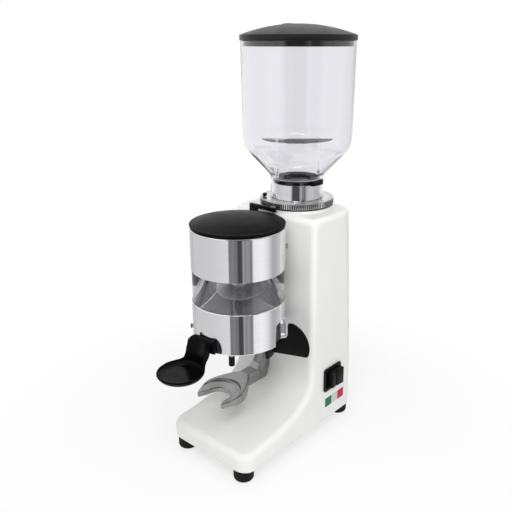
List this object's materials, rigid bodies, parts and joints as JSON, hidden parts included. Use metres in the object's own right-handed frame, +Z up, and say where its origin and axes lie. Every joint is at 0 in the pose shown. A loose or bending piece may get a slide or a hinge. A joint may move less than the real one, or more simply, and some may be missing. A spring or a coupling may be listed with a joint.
{
  "type": "coffee grinder",
  "caption": "Electric coffee grinder: bean hopper, knurled grind ring and flat burrs over a motor in a painted cast body, with a lever doser, a tamper and a fork.",
  "frame": {"origin": "middle of the footprint, on the surface that the feet stand on", "axes": "+Z up along the grinder's height, -Y to the front where the doser is, +X to the side with the switch"},
  "size_m": [0.1634, 0.3326, 0.5793],
  "materials": {
    "white_paint": "smooth glossy white stove enamel on cast metal",
    "rubber": "matt black moulded rubber",
    "clear_plastic": "clear moulded plastic",
    "black_plastic": "black plastic with a fine satin grain",
    "gloss_black_plastic": "smooth black plastic with soft highlights",
    "polished_metal": "polished metal with fine turning lines",
    "cast_aluminium": "satin cast metal",
    "steel": "plain machined steel",
    "copper_winding": "enamelled copper wire",
    "blue_film": "plastic sleeve"
  },
  "bodies": {
    "frame": {"body_housing": "white_paint", "foot_front_left": "rubber", "foot_front_right": "rubber", "foot_rear_left": "rubber", "foot_rear_right": "rubber", "ring_gasket": "rubber", "stop_cap": "rubber", "doser_window": "clear_plastic", "switch_housing": "black_plastic", "terminal_block": "black_plastic", "cable_gland": "black_plastic", "tamper": "gloss_black_plastic", "doser_upper_band": "polished_metal", "doser_lower_band": "polished_metal", "fork": "cast_aluminium", "fork_bracket": "cast_aluminium", "doser_mount": "cast_aluminium", "chute": "cast_aluminium", "grinding_chamber": "cast_aluminium", "motor_top_bell": "cast_aluminium", "motor_bottom_bell": "cast_aluminium", "base_plate": "steel", "motor_stator": "steel", "bearing_upper": "steel", "bearing_lower": "steel", "doser_floor": "steel", "stop_rod": "steel", "band_screw_upper": "steel", "band_screw_lower": "steel", "fork_screw_lower": "steel", "fork_screw_upper": "steel", "lock_screw": "steel", "upper_winding": "copper_winding", "lower_winding": "copper_winding", "capacitor": "blue_film"},
    "grind_ring": {"adjusting_ring": "polished_metal", "upper_burr_carrier": "polished_metal", "upper_burr": "steel", "ring_pin": "black_plastic", "hopper": "clear_plastic", "gate_frame": "black_plastic", "finger_guard": "clear_plastic"},
    "rotor": {"motor_rotor": "steel", "lower_burr_carrier": "cast_aluminium", "lower_burr": "steel"},
    "star_wheel": {"star": "polished_metal", "star_spindle": "steel", "star_nut": "steel", "spindle_nut": "steel", "ratchet_wheel": "steel"},
    "lever": {"doser_lever": "black_plastic", "pawl": "steel", "return_spring": "steel"},
    "gate": {"hopper_gate": "black_plastic"},
    "bean_lid": {"hopper_lid": "black_plastic"},
    "coffee_lid": {"doser_lid": "black_plastic"},
    "ring_lock": {"lock_lever": "black_plastic"},
    "rocker": {"switch_rocker": "gloss_black_plastic"}
  },
  "joints": [
    {"name": "grind_setting", "type": "hinge", "parent": "frame", "child": "grind_ring", "pos_m": [-0.00307, 0.0877, 0.34], "axis": [0, 0, 1], "range_deg": [-150, 150]},
    {"name": "gate_slide", "type": "slide", "parent": "grind_ring", "child": "gate", "axis": [1, 0, 0], "range_m": [0, 0.038]},
    {"name": "bean_lid_lift", "type": "slide", "parent": "grind_ring", "child": "bean_lid", "axis": [0, 0, 1], "range_m": [0, 0.1]},
    {"name": "coffee_lid_lift", "type": "slide", "parent": "frame", "child": "coffee_lid", "axis": [0, 0, 1], "range_m": [0, 0.045]},
    {"name": "motor_spin", "type": "hinge", "parent": "frame", "child": "rotor", "pos_m": [-0.00307, 0.0877, 0.2], "axis": [0, 0, 1], "continuous": true},
    {"name": "lever_pull", "type": "hinge", "parent": "frame", "child": "lever", "pos_m": [-0.00307, -0.034, 0.165], "axis": [0, 0, -1], "range_deg": [0, 65], "stiffness_Nm_per_rad": 0.25, "springref_deg": -22.92},
    {"name": "star_turn", "type": "hinge", "parent": "frame", "child": "star_wheel", "pos_m": [-0.00307, -0.034, 0.2], "axis": [0, 0, -1], "range_deg": [0, 65]},
    {"name": "lock_press", "type": "hinge", "parent": "frame", "child": "ring_lock", "pos_m": [0.00143, 0.0317, 0.336], "axis": [0, 0, 1], "range_deg": [0, 8], "stiffness_Nm_per_rad": 0.05, "springref_deg": -17.19},
    {"name": "power_switch", "type": "hinge", "parent": "frame", "child": "rocker", "pos_m": [0.07243, 0.0824, 0.0846], "axis": [0, 0, 1], "range_deg": [0, 12]}
  ],
  "couplings": [
    {"joint": "star_turn", "follows": "lever_pull", "ratio": 1}
  ]
}
